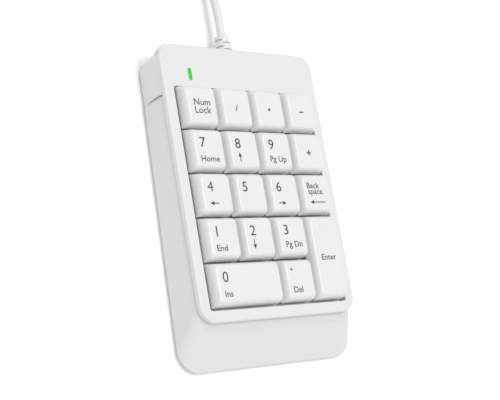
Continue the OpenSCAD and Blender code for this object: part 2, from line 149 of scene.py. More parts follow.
def spread(tree, value, low, high, fromLow=0.3, fromHigh=0.7):
    # Stretches the middle of a noise over low to high
    scale = addNode(tree, "ShaderNodeMapRange", From_Min=fromLow, From_Max=fromHigh, To_Min=low, To_Max=high)
    tree.links.new(value, scale.inputs["Value"])
    return scale.outputs["Result"]


def blendColour(tree, factor, first, second):
    # 6, 7 and 2 are the Mix node's colour sockets
    mix = addNode(tree, "ShaderNodeMix", data_type="RGBA")
    tree.links.new(factor, mix.inputs["Factor"])
    for socket, colour in ((mix.inputs[6], first), (mix.inputs[7], second)):
        if isinstance(colour, tuple):
            socket.default_value = (*colour, 1)
        else:
            tree.links.new(colour, socket)
    return mix.outputs[2]


def shaded(colour, share):
    # Paler above 1, darker below it
    return tuple(min(1, c * share) for c in colour)


def startFinish(name, **sockets):
    material = bpy.data.materials.new(name)
    material.use_nodes = True
    shader = material.node_tree.nodes["Principled BSDF"]
    for key, value in sockets.items():
        shader.inputs[key.replace("_", " ")].default_value = value
    return material, material.node_tree, shader


def addRelief(tree, shader, layers):
    # Bump from several noises, coarse first: each is a feature size and a depth
    normal = None
    for size, depth in layers:
        bump = addNode(tree, "ShaderNodeBump", Distance=depth)
        tree.links.new(noiseAt(tree, size), bump.inputs["Height"])
        if normal:
            tree.links.new(normal, bump.inputs["Normal"])
        normal = bump.outputs["Normal"]
    tree.links.new(normal, shader.inputs["Normal"])


mouldedLook = {
    "cloud": 14 * mm,  # size of the drifts in tone
    "patch": 5 * mm,  # size of the duller and shinier patches
    "patchRough": 0.05,
    "rim": 0.6 * mm,  # how far the painted edge highlight reaches from an edge
    "rimFrom": 0.45,
    "rimTo": 0.9,
    "ripple": 8,  # size of the mould's own waviness, in grains
    "rippleDepth": 1.5,
}


def mouldedPlastic(name, colour, rough=0.4, grain=0.35 * mm, depth=0.004 * mm, edge=0.06, tint=0.01):
    # Fine spark-eroded grain, cloudy tone, paler edges that are a painted edge highlight, and a soft sheen
    look = mouldedLook
    material, tree, shader = startFinish(name)
    tone = blendColour(tree, spread(tree, noiseAt(tree, look["cloud"]), 0, 1), shaded(colour, 1 - tint), colour)
    # Painted highlight: an ambient occlusion mask makes the colour paler near edges, standing in for light that
    # edges catch
    rim = addNode(
        tree, "ShaderNodeAmbientOcclusion", inside=True, only_local=True, samples=4, Distance=look["rim"]
    )
    edgeHighlightMask = spread(tree, rim.outputs["AO"], 0, 1, look["rimFrom"], look["rimTo"])
    tree.links.new(blendColour(tree, edgeHighlightMask, tone, shaded(colour, 1 + edge)), shader.inputs["Base Color"])
    patchy = spread(tree, noiseAt(tree, look["patch"]), rough - look["patchRough"], rough + look["patchRough"])
    tree.links.new(patchy, shader.inputs["Roughness"])
    addRelief(tree, shader, [(grain * look["ripple"], depth * look["rippleDepth"]), (grain, depth)])
    return material


def paleFloor():
    # A little glow of its own keeps the floor white under the case's soft shadow
    material, tree, shader = startFinish(
        "paleFloor", Specular_IOR_Level=0.1, Roughness=studio["floorRough"],
        Emission_Color=(1, 1, 1, 1), Emission_Strength=studio["floorGlow"],
    )
    pale = studio["floorColour"]
    cloud = blendColour(tree, spread(tree, noiseAt(tree, studio["floorCloud"]), 0, 1), pale, shaded(pale, 0.99))
    tree.links.new(cloud, shader.inputs["Base Color"])
    return material


metalLook = {
    "lines": 400.0,
    "detail": 4.0,
    "dull": 0.82,
    "smoother": 0.08,
    "rougher": 0.1,
    "lineDepth": 0.003 * mm,
}


def metal(name, colour, rough, stretch=(1, 1, 30)):
    # Drawn or rolled metal: fine lines, packed closest along the largest stretch
    look = metalLook
    material, tree, shader = startFinish(name, Metallic=1.0)
    coords = addNode(tree, "ShaderNodeTexCoord")
    drawn = addNode(tree, "ShaderNodeMapping", Scale=stretch)
    noise = addNode(tree, "ShaderNodeTexNoise", Scale=look["lines"], Detail=look["detail"])
    tree.links.new(coords.outputs["Object"], drawn.inputs["Vector"])
    tree.links.new(drawn.outputs["Vector"], noise.inputs["Vector"])
    lines = noise.outputs["Fac"]
    tone = blendColour(tree, spread(tree, lines, 0, 1), shaded(colour, look["dull"]), colour)
    tree.links.new(tone, shader.inputs["Base Color"])
    patchy = spread(tree, lines, rough - look["smoother"], rough + look["rougher"])
    tree.links.new(patchy, shader.inputs["Roughness"])
    bump = addNode(tree, "ShaderNodeBump", Distance=look["lineDepth"])
    tree.links.new(lines, bump.inputs["Height"])
    tree.links.new(bump.outputs["Normal"], shader.inputs["Normal"])
    return material


clearLook = {
    "bending": 1.49,
    "pale": 1.08,
    "cloud": 3 * mm,
    "patch": 1.2 * mm,
    "smoother": 0.03,
    "rougher": 0.05,
    "ripple": 0.6 * mm,
    "rippleDepth": 0.003 * mm,
}


def clearPlastic(name, colour, rough, through, glow=0.0, glowColour=(0, 0, 0)):
    # Tinted plastic that lets light through
    look = clearLook
    material, tree, shader = startFinish(name, IOR=look["bending"], Transmission_Weight=through)
    if glow:
        shader.inputs["Emission Color"].default_value = (*glowColour, 1)
        shader.inputs["Emission Strength"].default_value = glow
    tone = blendColour(tree, spread(tree, noiseAt(tree, look["cloud"]), 0, 1), colour, shaded(colour, look["pale"]))
    tree.links.new(tone, shader.inputs["Base Color"])
    patchy = spread(tree, noiseAt(tree, look["patch"]), rough - look["smoother"], rough + look["rougher"])
    tree.links.new(patchy, shader.inputs["Roughness"])
    addRelief(tree, shader, [(look["ripple"], look["rippleDepth"])])
    return material


# Material slot: the finish that it gets
# In these finishes, edge is how much paler the painted edge highlight makes an edge
plastics = {
    "cover_plastic": dict(name="satinWhite", colour=(0.75, 0.75, 0.757), rough=0.36, grain=0.3 * mm),
    "shell_plastic": dict(name="satinShell", colour=(0.75, 0.75, 0.757), rough=0.42, grain=0.3 * mm),
    "key_plastic": dict(name="keyWhite", colour=(0.785, 0.785, 0.793), rough=0.3, grain=0.22 * mm),
    "board": dict(
        name="solderMask", colour=(0.012, 0.13, 0.045), rough=0.3, grain=0.8 * mm, depth=0.01 * mm,
        edge=0.3, tint=0.2,
    ),
    "chip": dict(name="blackEpoxy", colour=(0.02, 0.02, 0.022), rough=0.55, edge=0.5, tint=0.1),
    "dark_plastic": dict(name="darkPlastic", colour=(0.06, 0.06, 0.065), rough=0.5, edge=0.4, tint=0.08),
    "lead_insulation": dict(name="leadInsulation", colour=(0.5, 0.03, 0.02), rough=0.35, edge=0.1, tint=0.05),
    "foot_rubber": dict(
        name="footRubber", colour=(0.045, 0.045, 0.05), rough=0.75, grain=0.5 * mm, depth=0.02 * mm, edge=0.3,
    ),
    "relief_plastic": dict(name="reliefVinyl", colour=(0.78, 0.78, 0.787), rough=0.5),
    "cable_jacket": dict(
        name="cableVinyl", colour=(0.80, 0.80, 0.807), rough=0.48, grain=0.5 * mm, depth=0.01 * mm, edge=0.02,
    ),
    "tie_plastic": dict(
        name="tieStrap", colour=(0.05, 0.05, 0.055), rough=0.6, grain=0.4 * mm, depth=0.03 * mm, edge=0.4,
    ),
    "tongue_plastic": dict(name="tonguePlastic", colour=(0.8, 0.8, 0.8), rough=0.4),
}
clearPlastics = {
    "green_window": dict(
        name="greenWindow", colour=(0.04, 0.46, 0.025), rough=0.25, through=0.1,
        glow=0.3, glowColour=(0.06, 0.6, 0.03),
    ),
    "led_lens": dict(
        name="lampLens", colour=(0.6, 0.95, 0.55), rough=0.15, through=0.6,
        glow=0.4, glowColour=(0.2, 0.9, 0.15),
    ),
    "membrane_film": dict(name="printedFilm", colour=(0.72, 0.80, 0.83), rough=0.2, through=0.35),
    "dome_silicone": dict(name="milkySilicone", colour=(0.86, 0.88, 0.9), rough=0.45, through=0.3),
}
metals = {
    "screw_steel": dict(name="screwSteel", colour=(0.62, 0.62, 0.64), rough=0.3),
    "wire_steel": dict(name="springWire", colour=(0.6, 0.6, 0.62), rough=0.25, stretch=(1, 40, 40)),
    "plug_metal": dict(name="platedSteel", colour=(0.66, 0.66, 0.67), rough=0.22, stretch=(1, 20, 1)),
}
finish = {}
for mix, looks in ((mouldedPlastic, plastics), (clearPlastic, clearPlastics), (metal, metals)):
    for slot, look in looks.items():
        finish[slot] = mix(**look)
print("keypad:", len(finish), "finishes mixed")

placeCamera()
buildStudio()
print("keypad: camera, lamps and floor placed")


def corners(node):
    low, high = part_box(node)
    return Vector(low), Vector(high)


def meshFrom(bm, name):
    bmesh.ops.recalc_face_normals(bm, faces=bm.faces)
    mesh = bpy.data.meshes.new(name)
    bm.to_mesh(mesh)
    bm.free()
    return mesh


def smoothBy(mesh, degrees):
    # Smooth shading that keeps an edge sharper than the angle
    mesh.shade_smooth()
    bm = bmesh.new()
    bm.from_mesh(mesh)
    for edge in bm.edges:
        edge.smooth = len(edge.link_faces) == 2 and edge.calc_face_angle() < math.radians(degrees)
    bm.to_mesh(mesh)
    bm.free()


def addPiece(name, data, body, slot, material=None, nodes=()):
    piece = bpy.data.objects.new(name, data)
    scene.collection.objects.link(piece)
    if not data.materials:
        data.materials.append(material or finish[slot])
    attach(piece, body)
    if nodes:
        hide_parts(*nodes)
    return piece


def roundedRing(halfX, halfY, radius, corner=6, side=4):
    # Points of a rounded rectangle, anticlockwise, evenly spaced along its straight sides
    radius = min(radius, halfX - 1e-7, halfY - 1e-7)
    bends = []
    for signX, signY, start in ((1, -1, -90), (1, 1, 0), (-1, 1, 90), (-1, -1, 180)):
        middle = Vector((signX * (halfX - radius), signY * (halfY - radius)))
        angles = [math.radians(start + 90 * i / corner) for i in range(corner + 1)]
        bends.append([middle + radius * Vector((math.cos(a), math.sin(a))) for a in angles])
    ring = []
    for bend, following in zip(bends, bends[1:] + bends[:1]):
        ring += bend + [bend[-1].lerp(following[0], i / side) for i in range(1, side)]
    return ring


def flatRing(points, z, shiftX=0.0, shiftY=0.0):
    return [(p.x + shiftX, p.y + shiftY, z) for p in points]


def loft(bm, rings, closed=False, caps=(True, True)):
    # Skins rings of equal length; closed joins the last ring to the first
    rows = [[bm.verts.new(p) for p in ring] for ring in rings]
    count = len(rows[0])
    pairs = list(zip(rows, rows[1:])) + ([(rows[-1], rows[0])] if closed else [])
    for lower, upper in pairs:
        for i in range(count):
            j = (i + 1) % count
            bm.faces.new((lower[i], lower[j], upper[j], upper[i]))
    if caps[0] and not closed:
        bm.faces.new(rows[0][::-1])
    if caps[1] and not closed:
        bm.faces.new(rows[-1])
    return rows


def closeTo(bm, ring, at):
    # Fan of triangles from a ring of vertices to one point
    peak = bm.verts.new(at)
    for i, vert in enumerate(ring):
        bm.faces.new((vert, ring[(i + 1) % len(ring)], peak))


def addTube(bm, outerRing, innerRing, low, high, place):
    # Wall between two outlines, from low to high, with place giving each point
    ends = ((outerRing, low), (outerRing, high), (innerRing, high), (innerRing, low))
    loft(bm, [[place(p, level) for p in ring] for ring, level in ends], closed=True)


rounding = {
    "weldBefore": 0.004 * mm,
    "weldAfter": 0.001 * mm,
    "flatUnder": 0.6,  # faces that turn less than this, in degrees, become one
    "softSteps": 4,
    "smoothUnder": 40,
    "evenWeight": 80,
}


def refined(node, name, slot, edge, steps=2, sharpOver=40, softer=None, softEdge=0.0):
    # The node's own form with its sharp edges rounded over; the edges that softer picks get softEdge first
    bm = bmesh.new()
    bm.from_mesh(frame["nodes"][node].data)
    bmesh.ops.remove_doubles(bm, verts=bm.verts, dist=rounding["weldBefore"])
    bmesh.ops.dissolve_limit(
        bm, angle_limit=math.radians(rounding["flatUnder"]), use_dissolve_boundaries=False,
        verts=bm.verts, edges=bm.edges,
    )

    def roundOver(width, count, wanted=None):
        sharp = [e for e in bm.edges if len(e.link_faces) == 2 and e.calc_face_angle() > math.radians(sharpOver)]
        picked = [e for e in sharp if wanted(e)] if wanted else sharp
        bmesh.ops.bevel(
            bm, geom=picked, offset=width, segments=count, profile=0.5, affect="EDGES", clamp_overlap=False
        )

    if softer:
        roundOver(softEdge, rounding["softSteps"], softer)
    roundOver(edge, steps)
    bmesh.ops.remove_doubles(bm, verts=bm.verts, dist=rounding["weldAfter"])
    bmesh.ops.triangulate(bm, faces=[f for f in bm.faces if len(f.verts) > 4])
    mesh = meshFrom(bm, name)
    smoothBy(mesh, rounding["smoothUnder"])
    piece = addPiece(name, mesh, "case", slot, None, (node,))
    even = piece.modifiers.new("evenShading", "WEIGHTED_NORMAL")
    even.keep_sharp = True
    even.weight = rounding["evenWeight"]
    return piece


# The points of lead and tail are in mm
cable = {
    "diameter": 4 * mm,
    "length": 1.5,
    "hidden": 1.5 * mm,  # how far each end runs on inside what holds it
    "lead": [
        (0, 78, 7.1), (0, 85, 7.1), (0, 91, 6.9), (0, 97, 6.1), (0, 104, 4.7), (0, 111, 3.4),
        (0, 118, 2.7), (0, 124, 2.5), (0, 130, 2.5), (0, 136, 2.5),
    ],
    "tail": [
        (-24, 160, 14.8), (-34, 160, 14.3), (-44, 159, 11.6), (-53, 155.5, 8.2), (-59.5, 149.5, 5.6),
        (-62.5, 142, 4.4), (-63, 135, 4.2),
    ],
    "curveSteps": 4,
    "turnGap": 4.1 * mm,
    "coilClear": 0.1 * mm,
    "wide": 3,
    "high": 4,
    "pointsPerTurn": 40,
    "firstMove": 290,
    "moveLength": 60,
    "phaseStep": 30,
    "lastAngle": 90,
}


def smoothed(route):
    # Passes a smooth curve through the route's points
    points = [Vector(p) * mm for p in route]
    ends = [2 * points[0] - points[1]] + points + [2 * points[-1] - points[-2]]
    out = []
    for a, b, c, d in zip(ends, ends[1:], ends[2:], ends[3:]):
        for i in range(cable["curveSteps"]):
            t = i / cable["curveSteps"]
            out.append(0.5 * (2 * b + (c - a) * t + (2 * a - 5 * b + 4 * c - d) * t ** 2
                              + (3 * b - a - 3 * c + d) * t ** 3))
    return out + [points[-1]]


def coilMoves():
    # Each layer steps sideways between turns, then climbs a little earlier in the round
    moves = []
    turn = 0
    phase = cable["firstMove"]
    sideways = -cable["turnGap"]
    for layer in range(cable["high"]):
        for crossing in range(cable["wide"] - 1):
            moves.append((360 * turn + phase, sideways, 0))
            turn += 1
        if layer < cable["high"] - 1:
            phase -= cable["phaseStep"]
            moves.append((360 * turn + phase, 0, cable["turnGap"]))
            turn += 1
            phase -= cable["phaseStep"]
            sideways = -sideways
    return moves, 360 * turn + cable["lastAngle"]


def coilPoints():
    low, high = corners("cable_coil")
    radius = (high.x - low.x) / 2 - cable["diameter"] / 2 - cable["coilClear"]
    start = Vector(((low.x + high.x) / 2, (low.y + high.y) / 2, low.z + cable["diameter"] / 2))
    moves, lastAngle = coilMoves()
    angleStep = 360 / cable["pointsPerTurn"]
    points = []
    for i in range(1, int(lastAngle / angleStep) + 1):
        angle = i * angleStep
        r, z = radius, 0
        for begin, outward, upward in moves:
            t = min(1, max(0, (angle - begin) / cable["moveLength"]))
            t = t * t * (3 - 2 * t)  # eased in and out
            r += outward * t
            z += upward * t
        turned = math.radians(angle)
        points.append(start + Vector((r * math.cos(turned), r * math.sin(turned), z)))
    return points


def buildCable():
    hidden = Vector((0, cable["hidden"], 0))
    lead = smoothed(cable["lead"])
    route = [lead[0] - hidden] + lead + coilPoints() + smoothed(cable["tail"])[1:]
    route.append(route[-1] - hidden)
    data = bpy.data.curves.new("cable", "CURVE")
    data.dimensions = "3D"
    data.bevel_depth = cable["diameter"] / 2
    data.bevel_resolution = 5
    data.use_fill_caps = True
    spline = data.splines.new("POLY")
    spline.points.add(len(route) - 1)
    for point, at in zip(spline.points, route):
        point.co = (*at, 1)
    spline.use_smooth = True
    return addPiece("cable", data, "case", "cable_jacket", None, ("cable_lead", "cable_coil", "cable_tail"))


grip = {
    "round": 2.6 * mm,
    "edge": 0.9 * mm,
    "edgeSteps": 4,
    "edgeRound": 0.8,  # how much of the edge's inset its corners lose
    "ribs": 5,
    "ribStart": 4 * mm,
    "ribWidth": 0.9 * mm,
    "ribGap": 1.9 * mm,
    "ribDepth": 0.45 * mm,
    "ribSlope": 0.25 * mm,
    "ribSides": 0.5,  # share of its depth that a rib has on the narrow sides
    "shoulder": 20 * mm,
    # distance past the shoulder, half width, half height and corner radius, in mm
    "taper": [
        (-1.6, 8.0, 4.2, 2.6), (-0.5, 7.6, 4.05, 2.9), (0.4, 6.4, 3.95, 3.4), (1.0, 4.6, 3.85, 3.7),
        (1.6, 3.85, 3.75, 3.6), (3.4, 3.3, 3.3, 3.25), (5.4, 2.85, 2.85, 2.8), (6.0, 2.6, 2.6, 2.55),
        (6.0, 2.0, 2.0, 1.98),
    ],
}


def buildPlugGrip():
    # Overmoulded grip: rounded at the plug's end, ribbed on its broad faces, drawn in round the cable
    low, high = corners("plug_grip")
    centre = (low + high) / 2
    halfX, halfZ = (high.x - low.x) / 2, (high.z - low.z) / 2
    front = low.y
    rings = []

    def cut(y, hx, hz, r):
        rings.append([(centre.x + p.x, y, centre.z + p.y) for p in roundedRing(hx, hz, r, 8, 3)])

    for i in range(grip["edgeSteps"] + 1):
        a = math.radians(90 * i / grip["edgeSteps"])
        inset = grip["edge"] * (1 - math.sin(a))
        y = front + grip["edge"] * (1 - math.cos(a))
        cut(y, halfX - inset, halfZ - inset, grip["round"] - inset * grip["edgeRound"])
    deep, slope, sides = grip["ribDepth"], grip["ribSlope"], grip["ribSides"]
    for i in range(grip["ribs"]):
        y = front + grip["ribStart"] + i * (grip["ribWidth"] + grip["ribGap"])
        for along, d in ((0, 0), (slope, deep), (grip["ribWidth"] - slope, deep), (grip["ribWidth"], 0)):
            cut(y + along, halfX - d * sides, halfZ - d, grip["round"] - d * sides)
    for along, hx, hz, r in grip["taper"]:
        cut(front + grip["shoulder"] + along * mm, hx * mm, hz * mm, r * mm)
    bm = bmesh.new()
    loft(bm, rings)
    mesh = meshFrom(bm, "plug_grip_moulded")
    smoothBy(mesh, 50)
    return addPiece("plug_grip_moulded", mesh, "case", "cable_jacket", finish["key_plastic"], ("plug_grip",))


goldPlate = metal("goldPlate", (0.83, 0.62, 0.28), 0.25, (30, 1, 1))
contact = {
    "count": 4,
    "pitch": 2.35 * mm,
    "wide": 1.0 * mm,
    "long": 8.2 * mm,
    "thick": 0.12 * mm,
    "sunk": 0.1 * mm,
    "inFromTip": 0.6 * mm,
    "middleBack": 0.8 * mm,  # the two middle strips start further back
    "corner": 0.3 * mm,
    "edge": 0.04 * mm,
    "edgeHigh": 0.03 * mm,
}


def buildContacts():
    # Gold strips on the tongue
    low, high = corners("plug_tongue")
    top = high.z + contact["thick"]
    halfX, halfY, edge = contact["wide"] / 2, contact["long"] / 2, contact["edge"]
    ring = roundedRing(halfX, halfY, contact["corner"], 4, 2)
    inner = roundedRing(halfX - edge, halfY - edge, contact["corner"] - edge, 4, 2)
    bm = bmesh.new()
    for i in range(contact["count"]):
        x = (low.x + high.x) / 2 + (i - (contact["count"] - 1) / 2) * contact["pitch"]
        back = contact["middleBack"] if i in (1, 2) else 0
        y = low.y + contact["inFromTip"] + back + halfY
        levels = ((ring, high.z - contact["sunk"]), (ring, top - contact["edgeHigh"]), (inner, top))
        loft(bm, [flatRing(points, z, x, y) for points, z in levels])
    mesh = meshFrom(bm, "plug_contacts")
    smoothBy(mesh, 40)
    return addPiece("plug_contacts", mesh, "case", "plug_metal", goldPlate)


tie = {
    "angle": 225,
    "width": 6 * mm,
    "strap": 0.45 * mm,
    "corner": 2 * mm,
    "coilHole": 13.8 * mm,
    "clear": 0.12 * mm,
    "edge": 0.15 * mm,
}


def buildTie():
    # Strap round one side of the coil: a closed loop with softened edges
    low, high = corners("cable_coil")
    coilRadius = (high.x - low.x) / 2
    ringRadius = (coilRadius + tie["coilHole"]) / 2
    halfR = coilRadius - ringRadius + tie["clear"]
    halfZ, middleZ = (high.z - low.z) / 2, (high.z + low.z) / 2
    turned = math.radians(tie["angle"])
    outward = Vector((math.cos(turned), math.sin(turned), 0))
    across = Vector((-outward.y, outward.x, 0))
    origin = Vector(((low.x + high.x) / 2, (low.y + high.y) / 2, 0)) + outward * ringRadius
    strap, corner, edge, half = tie["strap"], tie["corner"], tie["edge"], tie["width"] / 2
    inside = roundedRing(halfR, halfZ, corner, 8, 6)
    outside = roundedRing(halfR + strap, halfZ + strap, corner + strap, 8, 6)

    def at(p, side):
        return origin + outward * p.x + across * side + Vector((0, 0, middleZ + p.y))

    rings = []
    for under, over in zip(inside, outside):
        flat = [at(over, side) for side in (edge - half, -half * 0.3, half * 0.3, half - edge)]
        rings.append([at(under, -half)] + flat + [at(under, half)])
    bm = bmesh.new()
    loft(bm, rings, closed=True)
    mesh = meshFrom(bm, "coil_tie_strap")
    smoothBy(mesh, 45)
    return addPiece("coil_tie_strap", mesh, "case", "tie_plastic", None, ("cable_tie",))


cableEdges = {
    "strain_relief": dict(name="strain_relief_sleeve", slot="relief_plastic", edge=0.14 * mm),
    "plug_shell": dict(name="plug_shell_plated", slot="plug_metal", edge=0.08 * mm),
    "plug_tongue": dict(name="plug_tongue_moulded", slot="tongue_plastic", edge=0.12 * mm),
}
cablePiece = buildCable()
onCable = [buildPlugGrip(), buildContacts(), buildTie()]
onCable += [refined(node, **look) for node, look in cableEdges.items()]
print("keypad: cable wound, with its plug and tie")

seamArc = {
    "radius": 25 * mm,
    "y": 21.5 * mm,
    "z": 11.8 * mm,
    "outside": 42.5 * mm,
    "lowest": 4 * mm,
    "near": 0.03 * mm,
    "edge": 0.9 * mm,
}


def onSeamArc(edge):
    # The outer edge of a wing where it meets the rear block
    arc = seamArc
    return all(
        abs(vert.co.x) > arc["outside"] and vert.co.y > arc["y"] and vert.co.z > arc["lowest"]
        and abs(math.hypot(vert.co.y - arc["y"], vert.co.z - arc["z"]) - arc["radius"]) < arc["near"]
        for vert in edge.verts
    )


caseEdges = {
    "top_cover": dict(name="top_cover_moulded", slot="cover_plastic", edge=0.2 * mm, sharpOver=38),
    "lower_shell": dict(
        name="lower_shell_moulded", slot="shell_plastic", edge=0.25 * mm, sharpOver=38,
        softer=onSeamArc, softEdge=seamArc["edge"],
    ),
    "rubber_feet": dict(name="rubber_feet_moulded", slot="foot_rubber", edge=0.3 * mm, steps=3),
    "case_screws": dict(name="case_screws_turned", slot="screw_steel", edge=0.1 * mm),
    "status_window": dict(name="status_window_moulded", slot="green_window", edge=0.1 * mm),
}
for node, look in caseEdges.items():
    refined(node, **look)
print("keypad: case, feet, screws and window rounded")

keycap = {
    "height": 5.3 * mm,
    "sideIn": 1.25 * mm,
    "frontIn": 0.9 * mm,
    "rearIn": 1.0 * mm,
    "straight": 0.92,  # the rest of the lean comes as a bow
    "footCorner": 1.0 * mm,
    "topCorner": 2.2 * mm,
    "leastCorner": 0.2 * mm,
    "cornerLoss": 0.3,  # how much of an inset a corner loses
    "fillet": 1.25 * mm,
    "filletHigh": 2.0 * mm,
    "filletSteps": 8,
    "skirtSteps": 4,
    "dish": 0.16 * mm,
    "dishFade": 6,
    "topRings": (0.96, 0.9, 0.82, 0.72, 0.6, 0.45, 0.3, 0.15),
    "wall": 1.2 * mm,
    "ceiling": 1.2 * mm,
    "lip": 0.15 * mm,
    "lipHigh": 0.03,
    "doubleFrom": 1.5,  # a key longer than this many widths is a double one
}
stem = {
    "width": 6.6 * mm,
    "depth": 5 * mm,
    "corner": 0.3 * mm,
    "bore": 1.3 * mm,
    "rooted": 0.3 * mm,
    "hook": 0.5 * mm,
    "hookHigh": 0.7 * mm,
    "hookTip": 0.45 * mm,
    "hookFoot": 0.05 * mm,
}
ear = {
    "x": 10.4 * mm,
    "thick": 1.1 * mm,
    "halfLong": 2.1 * mm,
    "corner": 0.3 * mm,
    "slotLong": 1.15 * mm,
    "slotHalf": 0.72 * mm,
    "slotCorner": 0.4 * mm,
    "slotZ": 15.9 * mm,
    "foot": 14.5 * mm,
    "armBack": 5.6 * mm,
    "arm": 9 * mm,
    "rise": 3 * mm,
}


def dishAt(x, y, halfX, halfY):
    # Depth of the shallow dish at a point measured from the middle of the key's top
    u = min(1, abs(x) / halfX)
    v = min(1, abs(y) / halfY)
    return keycap["dish"] * (1 - u * u) * (1 - v * v)


def topShape(width, depth):
    # Half sizes of a key's top and the shift of its middle towards the front
    halfX = width / 2 - keycap["sideIn"]
    halfY = (depth - keycap["frontIn"] - keycap["rearIn"]) / 2
    return halfX, halfY, (keycap["frontIn"] - keycap["rearIn"]) / 2


def addStem(bm, footZ, ceilingZ):
    # Post with a round bore, and the two hooks that hold the key in its guide
    outer = roundedRing(stem["width"] / 2, stem["depth"] / 2, stem["corner"], 3, 3)
    bore = []
    for p in outer:
        angle = math.atan2(p.y / stem["depth"], p.x / stem["width"])
        bore.append(Vector((stem["bore"] * math.cos(angle), stem["bore"] * math.sin(angle))))
    addTube(bm, outer, bore, footZ, ceilingZ + stem["rooted"], lambda p, z: (p.x, p.y, z))
    half = stem["depth"] / 4
    low = footZ + stem["hookFoot"]
    high = low + stem["hookHigh"]
    for side in (-1, 1):
        face = side * stem["width"] / 2
        tip = face + side * stem["hook"]
        back = face - side * stem["rooted"]
        profile = [(back, low), (face, low), (tip, low + stem["hookTip"]), (tip, high), (back, high)]
        loft(bm, [[(x, -half, z) for x, z in profile], [(x, half, z) for x, z in profile]])


def addEars(bm, deep, ceilingZ):
    # Slotted lugs that carry the ends of a double key's stabiliser wire
    riseAngle = math.asin(ear["rise"] / ear["arm"])
    middle = -ear["armBack"] + ear["arm"] * (1 + math.cos(riseAngle)) / 2
    topZ = ceilingZ + stem["rooted"]
    halfZ = (topZ - ear["foot"]) / 2
    midZ = (topZ + ear["foot"]) / 2
    outer = roundedRing(ear["halfLong"], halfZ, ear["corner"], 4, 3)
    slot = roundedRing(ear["slotLong"], ear["slotHalf"], ear["slotCorner"], 4, 3)
    slot = [Vector((p.x, p.y + ear["slotZ"] - midZ)) for p in slot]

    def place(p, x):
        at = Vector((x, middle + p.x, midZ + p.y))
        return Vector((-at.y, at.x, at.z)) if deep else at

    for side in (-1, 1):
        near = side * ear["x"]
        addTube(bm, outer, slot, near, near + side * ear["thick"], place)


def keycapMesh(width, depth, footZ, stemFoot):
    # One cap, centred on its own foot: hollow inside, skirt, soft top edge and dished top
    height = keycap["height"]
    lip, lipHigh, wall = keycap["lip"], keycap["lipHigh"], keycap["wall"]
    topZ = footZ + height
    halfX, halfY, shift = topShape(width, depth)
    rows = []

    def skirt(t, inset=0.0):
        # t runs from the foot to the top; the sides bow in slightly
        lean = t * (keycap["straight"] + (1 - keycap["straight"]) * t)
        hx = width / 2 - keycap["sideIn"] * lean - inset
        hy = depth / 2 - (keycap["frontIn"] + keycap["rearIn"]) / 2 * lean - inset
        r = keycap["footCorner"] * (1 - t) + keycap["topCorner"] * t - inset * keycap["cornerLoss"]
        ring = roundedRing(hx, hy, max(r, keycap["leastCorner"]), 6, 5)
        rows.append(flatRing(ring, footZ + height * t, 0, shift * lean))

    # The hollow from its ceiling down, then the lip round the foot
    roof = 1 - keycap["ceiling"] / height
    for t, inset in ((roof, wall), (roof * 0.5, wall), (lipHigh, wall), (0.0, wall - lip), (0.0, lip)):
        skirt(t, inset)
    bend = 1 - keycap["filletHigh"] / height
    for i in range(keycap["skirtSteps"] + 1):
        skirt(lipHigh + (bend - lipHigh) * i / keycap["skirtSteps"])
    for i in range(1, keycap["filletSteps"] + 1):
        a = math.radians(90 * i / keycap["filletSteps"])
        skirt(bend + (1 - bend) * math.sin(a), keycap["fillet"] * (1 - math.cos(a)))
    rim = rows[-1]
    for s in keycap["topRings"]:
        fade = min(1, (1 - s) * keycap["dishFade"])
        shrunk = [(x * s, (y - shift) * s) for x, y, z in rim]
        rows.append([(x, shift + y, topZ - dishAt(x, y, halfX, halfY) * fade) for x, y in shrunk])
    bm = bmesh.new()
    made = loft(bm, rows, caps=(True, False))
    closeTo(bm, made[-1], (0, shift, topZ - keycap["dish"]))
    ceilingZ = topZ - keycap["ceiling"]
    addStem(bm, stemFoot, ceilingZ)
    if max(width, depth) > keycap["doubleFrom"] * min(width, depth):
        addEars(bm, depth > width, ceilingZ)
    mesh = meshFrom(bm, "keycap")
    mesh.materials.append(finish["key_plastic"])
    smoothBy(mesh, 50)
    return mesh


keyNames = sorted(node[len("key_"):] for node in frame["nodes"] if node.startswith("key_"))
capMeshes = {}  # keys of one size share a mesh


def buildKeycap(key):
    node = "key_" + key
    low, high = corners(node)
    width, depth = high.x - low.x, high.y - low.y
    size = (round(width / mm, 2), round(depth / mm, 2))
    if size not in capMeshes:
        capMeshes[size] = keycapMesh(width, depth, high.z - keycap["height"], low.z)
    piece = addPiece("keycap_" + key, capMeshes[size], node + "_body", "key_plastic", None, (node,))
    piece.location = ((low.x + high.x) / 2, (low.y + high.y) / 2, 0)


for key in keyNames:
    buildKeycap(key)
print("keypad:", len(keyNames), "keycaps on", len(capMeshes), "meshes")

legendInk = mouldedPlastic("legendInk", (0.055, 0.055, 0.06), 0.6, depth=0.002 * mm, edge=0.15, tint=0.1)
legend = {
    "capShare": 0.73,  # a capital's height as a share of the lettering's size
    "wider": 1.08,
    "digitHeight": 4.5 * mm,
    "digitBase": 0.65 * mm,
    "digitLeft": -4.6 * mm,
    "oneIn": 0.65 * mm,
    "digitThin": -0.025 * mm,
    "fourThin": 0.01 * mm,  # keeps the hole of the 4 open
    "wordThin": -0.04 * mm,
    "proud": 0.015 * mm,
    "under": 0.05 * mm,
    "arrowLine": 0.42 * mm,
    "headLong": 1.9 * mm,
    "headHalf": 1.0 * mm,
    "headBack": 0.3 * mm,
    "weld": 0.0005 * mm,
}
